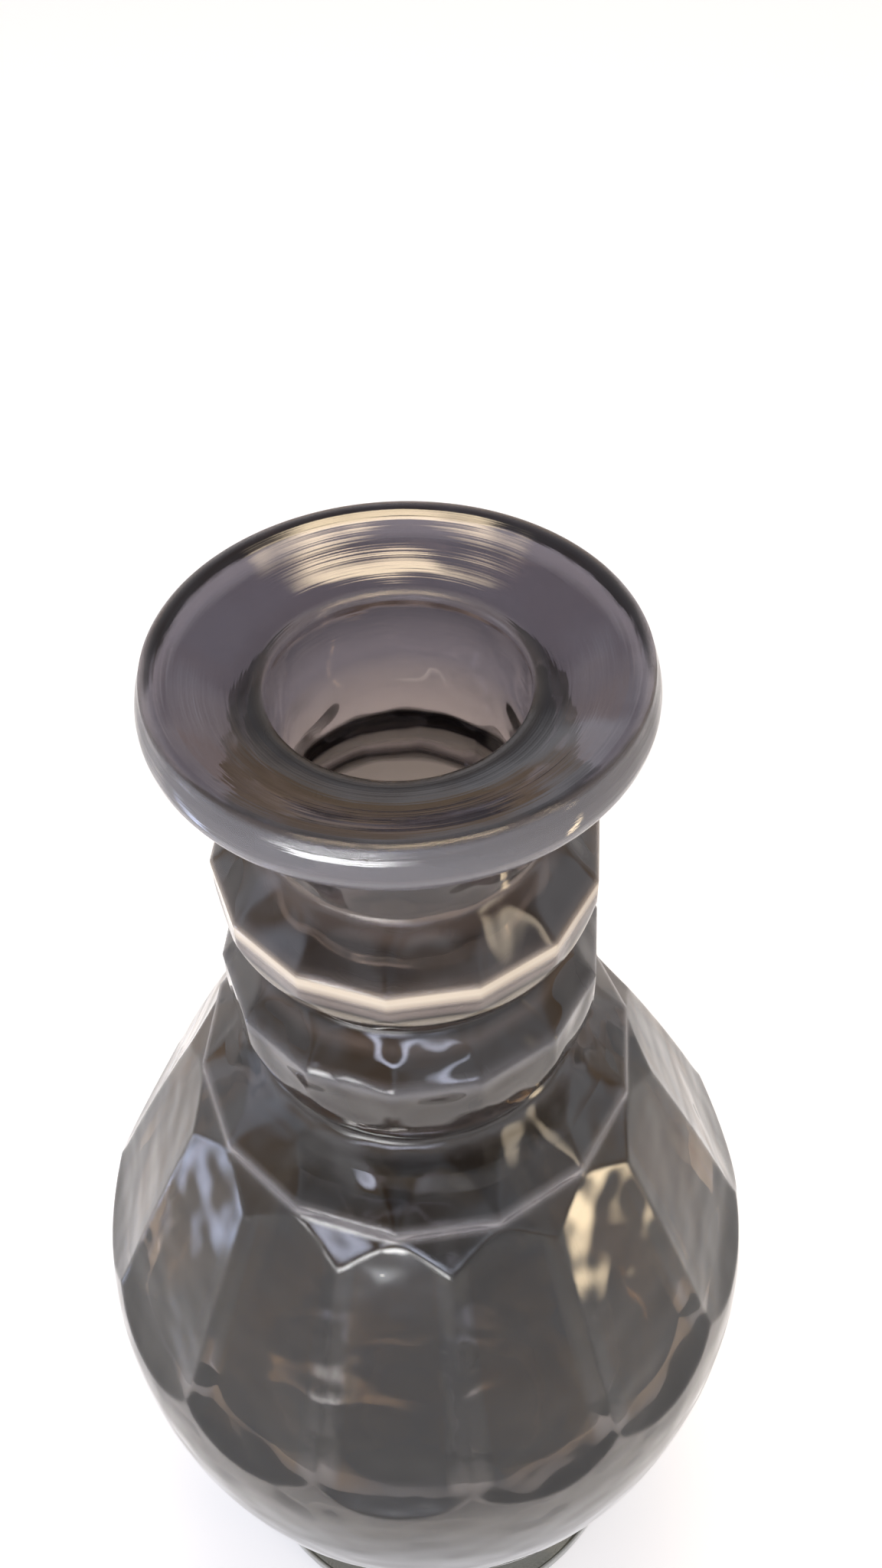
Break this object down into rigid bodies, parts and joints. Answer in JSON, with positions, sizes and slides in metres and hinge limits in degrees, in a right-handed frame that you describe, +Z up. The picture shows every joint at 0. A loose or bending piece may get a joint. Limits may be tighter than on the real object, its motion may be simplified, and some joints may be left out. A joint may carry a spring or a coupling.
{
  "type": "wine carafe",
  "caption": "Clear cut-glass wine carafe with a fluted bulb, facet-cut neck rings, a dished pouring lip and a spread foot",
  "frame": {"origin": "centre of the foot's resting face, at the bottom centre of the bounding box", "axes": "+Z runs up the carafe's axis from the foot to the mouth, and -Y is the front, with a facet corner towards it"},
  "size_m": [0.118, 0.118, 0.2411],
  "materials": {
    "foot": "polished",
    "bulb": "polished",
    "lower_neck_ring": "polished",
    "upper_neck_ring": "polished",
    "lip": "polished"
  },
  "bodies": {
    "root": {"foot": "foot", "bulb": "bulb", "lower_neck_ring": "lower_neck_ring", "upper_neck_ring": "upper_neck_ring", "lip": "lip"}
  },
  "joints": []
}
